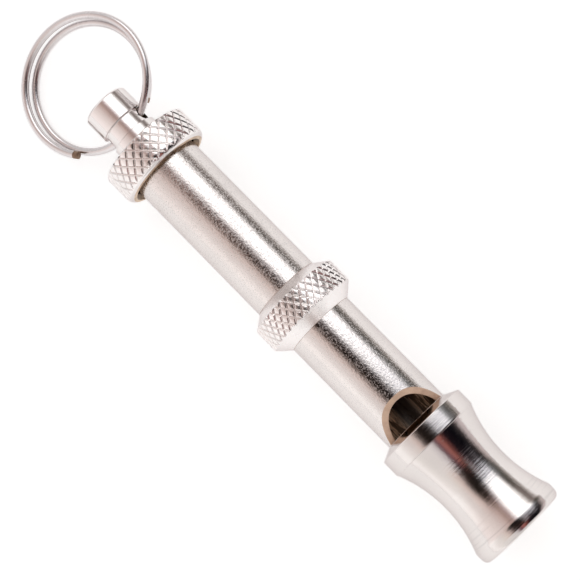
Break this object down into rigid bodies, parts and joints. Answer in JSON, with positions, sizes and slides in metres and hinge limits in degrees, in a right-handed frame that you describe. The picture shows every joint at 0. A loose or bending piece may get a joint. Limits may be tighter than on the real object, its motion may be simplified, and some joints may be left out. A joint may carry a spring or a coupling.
{
  "type": "dog training whistle",
  "caption": "Adjustable high-frequency dog whistle: flared mouthpiece, slotted barrel, lock nut, screw-in piston sleeve with knurled cap, and a split ring through its neck.",
  "frame": {"origin": "centre of the bounding box at the level the whistle lies on", "axes": "+X along the whistle towards the mouth end, +Z out of the sound window, +Y completes the right-handed set; the whistle's own axis runs 6.89 mm above the origin's level and lies in the X-Z plane to within 0.02 mm"},
  "size_m": [0.0946, 0.0196, 0.0138],
  "materials": {
    "mouthpiece_nickel": "gloss",
    "plug_brass": "satin",
    "barrel_nickel": "gloss",
    "bush_brass": "satin",
    "nut_nickel": "satin",
    "sleeve_nickel": "gloss",
    "cap_nickel": "gloss",
    "rod_steel": "satin",
    "piston_brass": "satin",
    "seal_rubber": "matte",
    "ring_steel": "polished"
  },
  "bodies": {
    "whistle_body": {"mouthpiece": "mouthpiece_nickel", "windway_plug": "plug_brass", "lower_barrel": "barrel_nickel", "thread_bush": "bush_brass"},
    "seal": {"piston_seal": "seal_rubber"},
    "adjuster": {"upper_sleeve": "sleeve_nickel", "end_cap": "cap_nickel", "piston_rod": "rod_steel", "piston_head": "piston_brass"},
    "lock_nut": {"lock_nut": "nut_nickel"},
    "split_ring": {"split_ring": "ring_steel"}
  },
  "joints": [
    {"name": "adjuster_travel", "type": "slide", "parent": "whistle_body", "child": "seal", "axis": [-1, 0, 0], "range_m": [0, 0.00801]},
    {"name": "adjuster_turn", "type": "hinge", "parent": "seal", "child": "adjuster", "pos_m": [-0.02492, 0.00001, 0.00689], "axis": [-1, 0, 0], "range_deg": [0, 2880]},
    {"name": "lock_nut_turn", "type": "hinge", "parent": "adjuster", "child": "lock_nut", "pos_m": [0.00615, 0.00001, 0.00689], "axis": [1, 0, 0], "range_deg": [0, 90]},
    {"name": "ring_swing", "type": "hinge", "parent": "adjuster", "child": "split_ring", "pos_m": [-0.02799, 0.00001, 0.00689], "axis": [0, 0.9397, 0.342], "range_deg": [-110, 150]}
  ],
  "couplings": [
    {"joint": "adjuster_travel", "follows": "adjuster_turn", "m_per_rad": 0.00015915}
  ]
}
